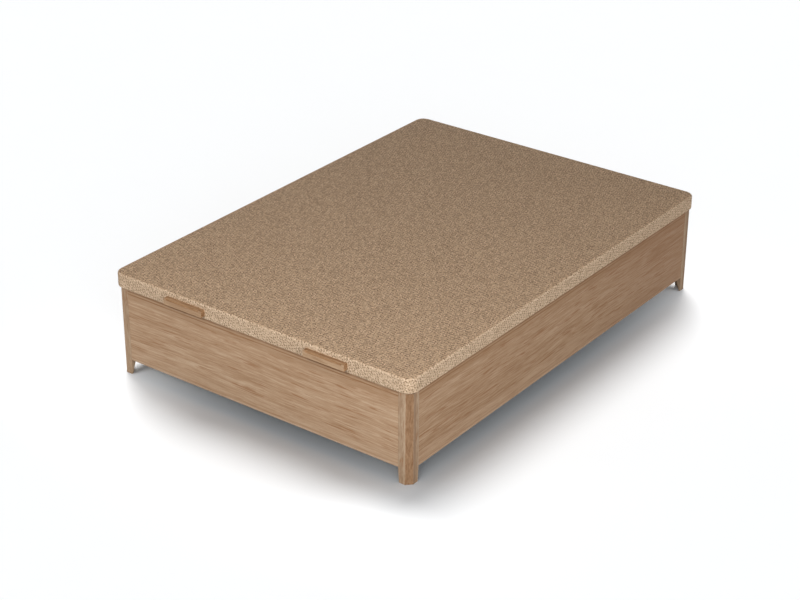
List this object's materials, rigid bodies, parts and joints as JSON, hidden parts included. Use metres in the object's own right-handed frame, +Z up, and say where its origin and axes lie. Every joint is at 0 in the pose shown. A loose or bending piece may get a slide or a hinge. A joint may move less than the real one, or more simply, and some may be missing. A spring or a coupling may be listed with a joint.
{
  "type": "ottoman storage bed",
  "caption": "Ottoman storage bed base: an oak box on tapered corner legs under a fabric-covered lid that swings up on gas springs, with wooden pulls at the foot end.",
  "frame": {"origin": "on the floor under the middle of the bed", "axes": "+Y from the foot end with the pulls to the hinged head end, +Z up, +X to the sleeper's left side seen from the foot's front as the right side"},
  "size_m": [1.35, 1.919, 0.417],
  "materials": {
    "panel_oak": "light oak board, grain along the panel, satin",
    "post_oak": "light oak, upright grain, satin",
    "handle_oak": "light oak with a brown scooped top edge, satin",
    "bracket_steel": "zinc-plated folded steel",
    "screw_steel": "zinc-plated screws",
    "hinge_steel": "zinc-plated steel",
    "batten_pine": "planed softwood",
    "frame_steel": "dark grey powder coat",
    "foot_plastic": "black moulded foot",
    "floor_fibreboard": "oak-faced fibreboard",
    "buffer_rubber": "black rubber pads",
    "cover_fabric": "beige open-mesh woven fabric",
    "padding_foam": "cream foam slab",
    "lid_fibreboard": "plain fibreboard",
    "lining_fabric": "black non-woven lining",
    "cylinder_paint": "black painted steel tube",
    "eye_steel": "zinc-plated steel",
    "rod_chrome": "hard-chromed rod"
  },
  "bodies": {
    "base": {"foot_panel": "panel_oak", "head_panel": "panel_oak", "side_panel_left": "panel_oak", "side_panel_right": "panel_oak", "corner_post_foot_left": "post_oak", "corner_post_foot_right": "post_oak", "corner_post_head_left": "post_oak", "corner_post_head_right": "post_oak", "corner_bracket_foot_left": "bracket_steel", "corner_bracket_foot_right": "bracket_steel", "corner_bracket_head_left": "bracket_steel", "corner_bracket_head_right": "bracket_steel", "beam_cleats": "bracket_steel", "strut_base_bracket_left": "bracket_steel", "strut_base_bracket_right": "bracket_steel", "base_screws": "screw_steel", "hinge_base_leaves": "hinge_steel", "hinge_pins": "hinge_steel", "strut_base_studs": "hinge_steel", "batten_foot": "batten_pine", "batten_head": "batten_pine", "battens_left": "batten_pine", "battens_right": "batten_pine", "centre_beam": "frame_steel", "centre_foot": "foot_plastic", "floor_board_foot": "floor_fibreboard", "floor_board_head": "floor_fibreboard", "lid_buffers": "buffer_rubber"},
    "lid": {"handle_left": "handle_oak", "handle_right": "handle_oak", "strut_lid_bracket_left": "bracket_steel", "strut_lid_bracket_right": "bracket_steel", "lid_screws": "screw_steel", "handle_screws": "screw_steel", "hinge_lid_leaves": "hinge_steel", "strut_lid_studs": "hinge_steel", "lid_frame_foot": "frame_steel", "lid_frame_head": "frame_steel", "lid_crossbar_foot": "frame_steel", "lid_crossbar_middle": "frame_steel", "lid_crossbar_head": "frame_steel", "lid_cover": "cover_fabric", "lid_padding": "padding_foam", "lid_board": "lid_fibreboard", "lid_lining": "lining_fabric"},
    "left_cylinder": {"gas_cylinder_left": "cylinder_paint", "cylinder_eye_left": "eye_steel"},
    "right_cylinder": {"gas_cylinder_right": "cylinder_paint", "cylinder_eye_right": "eye_steel"},
    "left_rod": {"gas_rod_left": "rod_chrome", "rod_eye_left": "eye_steel"},
    "right_rod": {"gas_rod_right": "rod_chrome", "rod_eye_right": "eye_steel"}
  },
  "joints": [
    {"name": "lid_hinge", "type": "hinge", "parent": "base", "child": "lid", "pos_m": [0, 0.945, 0.354], "axis": [-1, 0, 0], "range_deg": [0, 45]},
    {"name": "left_rod_pivot", "type": "hinge", "parent": "base", "child": "left_rod", "pos_m": [-0.622, 0.829, 0.121], "axis": [-1, 0, 0], "range_deg": [0, 22.5]},
    {"name": "left_cylinder_pivot", "type": "hinge", "parent": "lid", "child": "left_cylinder", "pos_m": [-0.622, 0.68592, 0.32905], "axis": [-1, 0, 0], "range_deg": [-22.5, 0]},
    {"name": "right_rod_pivot", "type": "hinge", "parent": "base", "child": "right_rod", "pos_m": [0.622, 0.829, 0.121], "axis": [-1, 0, 0], "range_deg": [0, 22.5]},
    {"name": "right_cylinder_pivot", "type": "hinge", "parent": "lid", "child": "right_cylinder", "pos_m": [0.622, 0.68592, 0.32905], "axis": [-1, 0, 0], "range_deg": [-22.5, 0]}
  ],
  "couplings": [
    {"joint": "left_rod_pivot", "follows": "lid_hinge", "ratio": 0.5},
    {"joint": "left_cylinder_pivot", "follows": "lid_hinge", "ratio": -0.5},
    {"joint": "right_rod_pivot", "follows": "lid_hinge", "ratio": 0.5},
    {"joint": "right_cylinder_pivot", "follows": "lid_hinge", "ratio": -0.5}
  ]
}
